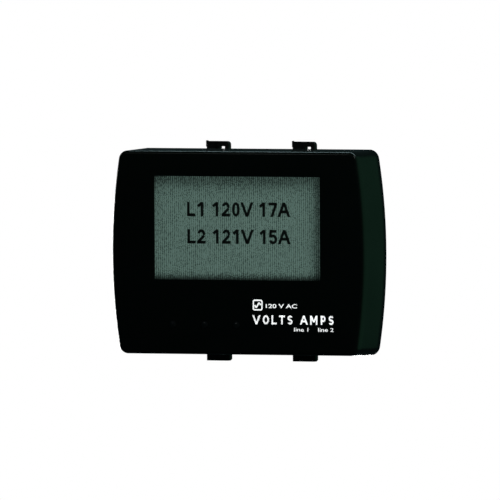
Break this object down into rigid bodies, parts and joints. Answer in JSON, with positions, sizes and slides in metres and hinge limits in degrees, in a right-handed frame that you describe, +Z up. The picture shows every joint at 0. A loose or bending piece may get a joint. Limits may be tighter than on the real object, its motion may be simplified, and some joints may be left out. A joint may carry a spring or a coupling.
{
  "type": "remote power monitor display",
  "caption": "Wall-mounted remote display for a caravan power monitor: a black case with bulged sides, a large LCD window and push buttons, hung on a slotted-ear wall bracket.",
  "frame": {"origin": "on the wall, at the centre of the wall bracket's back face", "axes": "+X to the right of a person reading the display, +Z up, -Y out of the wall towards that person"},
  "size_m": [0.1332, 0.0301, 0.1058],
  "materials": {
    "case_black": "satin moulded ABS",
    "bracket_black": "matt moulded ABS",
    "button_black": "smooth",
    "clear": "clear",
    "foam": "closed-cell foam",
    "holder_white": "moulded",
    "lcd_grey": "polarizer film",
    "light_guide": "clear acrylic",
    "ribbon_amber": "polyimide",
    "board_green": "solder mask",
    "chip_black": "moulded",
    "plated": "nickel plate",
    "screw_steel": "zinc plate",
    "wire_red": "PVC insulation",
    "wire_black": "PVC insulation",
    "cell_jacket": "printed sleeve"
  },
  "bodies": {
    "wall_bracket": {"wall_bracket": "bracket_black"},
    "display_unit": {"front_housing": "case_black", "rear_cover": "case_black", "display_window": "clear", "window_gasket": "foam", "lcd_holder": "holder_white", "battery_connector": "holder_white", "lcd_glass": "lcd_grey", "lcd_backlight": "light_guide", "lcd_ribbon": "ribbon_amber", "main_board": "board_green", "microcontroller": "chip_black", "inductor": "chip_black", "crystal": "plated", "radio_module": "plated", "capacitor": "plated", "tact_switch_1": "plated", "tact_switch_2": "plated", "tact_switch_3": "plated", "battery_spring_1": "plated", "battery_spring_2": "plated", "battery_spring_3": "plated", "contact_plate_1": "plated", "contact_plate_2": "plated", "contact_plate_3": "plated", "housing_screw_1": "screw_steel", "housing_screw_2": "screw_steel", "housing_screw_3": "screw_steel", "housing_screw_4": "screw_steel", "board_screw_1": "screw_steel", "board_screw_2": "screw_steel", "board_screw_3": "screw_steel", "board_screw_4": "screw_steel", "battery_lead_positive": "wire_red", "battery_lead_negative": "wire_black", "battery_1": "cell_jacket", "battery_2": "cell_jacket", "battery_3": "cell_jacket"},
    "button_1": {"button_1": "button_black", "switch_plunger_1": "chip_black"},
    "button_2": {"button_2": "button_black", "switch_plunger_2": "chip_black"},
    "button_3": {"button_3": "button_black", "switch_plunger_3": "chip_black"},
    "battery_door": {"battery_door": "case_black"}
  },
  "joints": [
    {"name": "case_lift", "type": "slide", "parent": "wall_bracket", "child": "display_unit", "axis": [0, 0, 1], "range_m": [0, 0.0045]},
    {"name": "button_1_press", "type": "slide", "parent": "display_unit", "child": "button_1", "axis": [0, 1, 0], "range_m": [0, 0.0008], "stiffness_N_per_m": 600},
    {"name": "button_2_press", "type": "slide", "parent": "display_unit", "child": "button_2", "axis": [0, 1, 0], "range_m": [0, 0.0008], "stiffness_N_per_m": 600},
    {"name": "button_3_press", "type": "slide", "parent": "display_unit", "child": "button_3", "axis": [0, 1, 0], "range_m": [0, 0.0008], "stiffness_N_per_m": 600},
    {"name": "battery_door_slide", "type": "slide", "parent": "display_unit", "child": "battery_door", "axis": [0, 0, -1], "range_m": [0, 0.054]}
  ]
}
